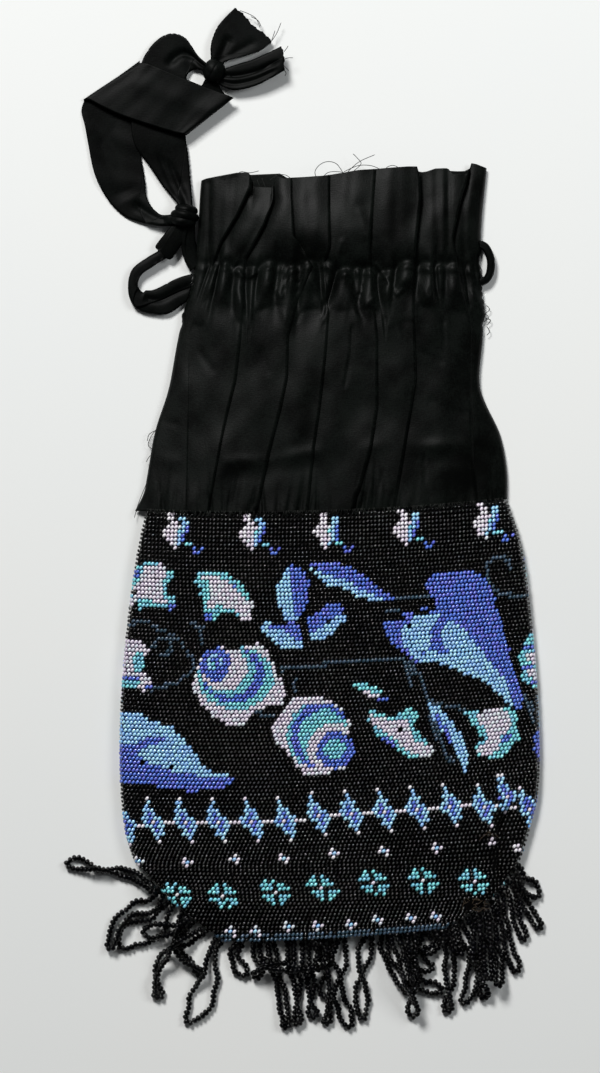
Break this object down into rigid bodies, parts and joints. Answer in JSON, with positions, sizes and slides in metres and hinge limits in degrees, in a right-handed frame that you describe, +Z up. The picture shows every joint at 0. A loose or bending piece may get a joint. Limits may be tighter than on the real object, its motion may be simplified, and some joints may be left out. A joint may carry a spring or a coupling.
{
  "type": "reticule",
  "caption": "Flat drawstring reticule lying on its back: bead-knitted pouch with a garland, gathered satin top, knotted ribbon handle and a fringe of bead loops.",
  "frame": {"origin": "on the table under the middle of the whole object's box, as it lies on its back", "axes": "+X across the bag to the right, +Y towards its mouth and carrying loop, +Z up from the table out of its front"},
  "size_m": [0.193, 0.4102, 0.011],
  "materials": {
    "bead_knit": "opaque glass beads knitted on thread, black with blue, turquoise and white figures",
    "satin": "black silk satin, soft sheen",
    "ribbon": "black satin ribbon",
    "bead_glass": "glossy black glass beads"
  },
  "bodies": {
    "root": {"beaded_pouch": "bead_knit", "satin_top": "satin", "ribbon_left_loop": "ribbon", "ribbon_short_strand": "ribbon", "ribbon_side_loop": "ribbon", "ribbon_handle_left": "ribbon", "ribbon_handle_right": "ribbon", "ribbon_tail_upper": "ribbon", "ribbon_tail_lower": "ribbon", "ribbon_knot": "ribbon", "ribbon_end_knot": "ribbon", "fringe_loop_01": "bead_glass", "fringe_loop_02": "bead_glass", "fringe_loop_03": "bead_glass", "fringe_loop_04": "bead_glass", "fringe_loop_05": "bead_glass", "fringe_loop_06": "bead_glass", "fringe_loop_07": "bead_glass", "fringe_loop_08": "bead_glass", "fringe_loop_09": "bead_glass", "fringe_loop_10": "bead_glass", "fringe_loop_11": "bead_glass", "fringe_loop_12": "bead_glass", "fringe_loop_13": "bead_glass", "fringe_loop_14": "bead_glass", "fringe_loop_15": "bead_glass", "fringe_loop_16": "bead_glass", "fringe_loop_17": "bead_glass", "fringe_loop_18": "bead_glass", "fringe_loop_19": "bead_glass", "fringe_loop_20": "bead_glass", "fringe_loop_21": "bead_glass", "fringe_loop_22": "bead_glass", "fringe_loop_23": "bead_glass", "fringe_loop_24": "bead_glass", "fringe_loop_25": "bead_glass", "fringe_loop_26": "bead_glass", "fringe_loop_27": "bead_glass", "fringe_loop_28": "bead_glass", "fringe_loop_29": "bead_glass", "fringe_loop_30": "bead_glass", "fringe_loop_31": "bead_glass", "fringe_loop_32": "bead_glass"}
  },
  "joints": []
}
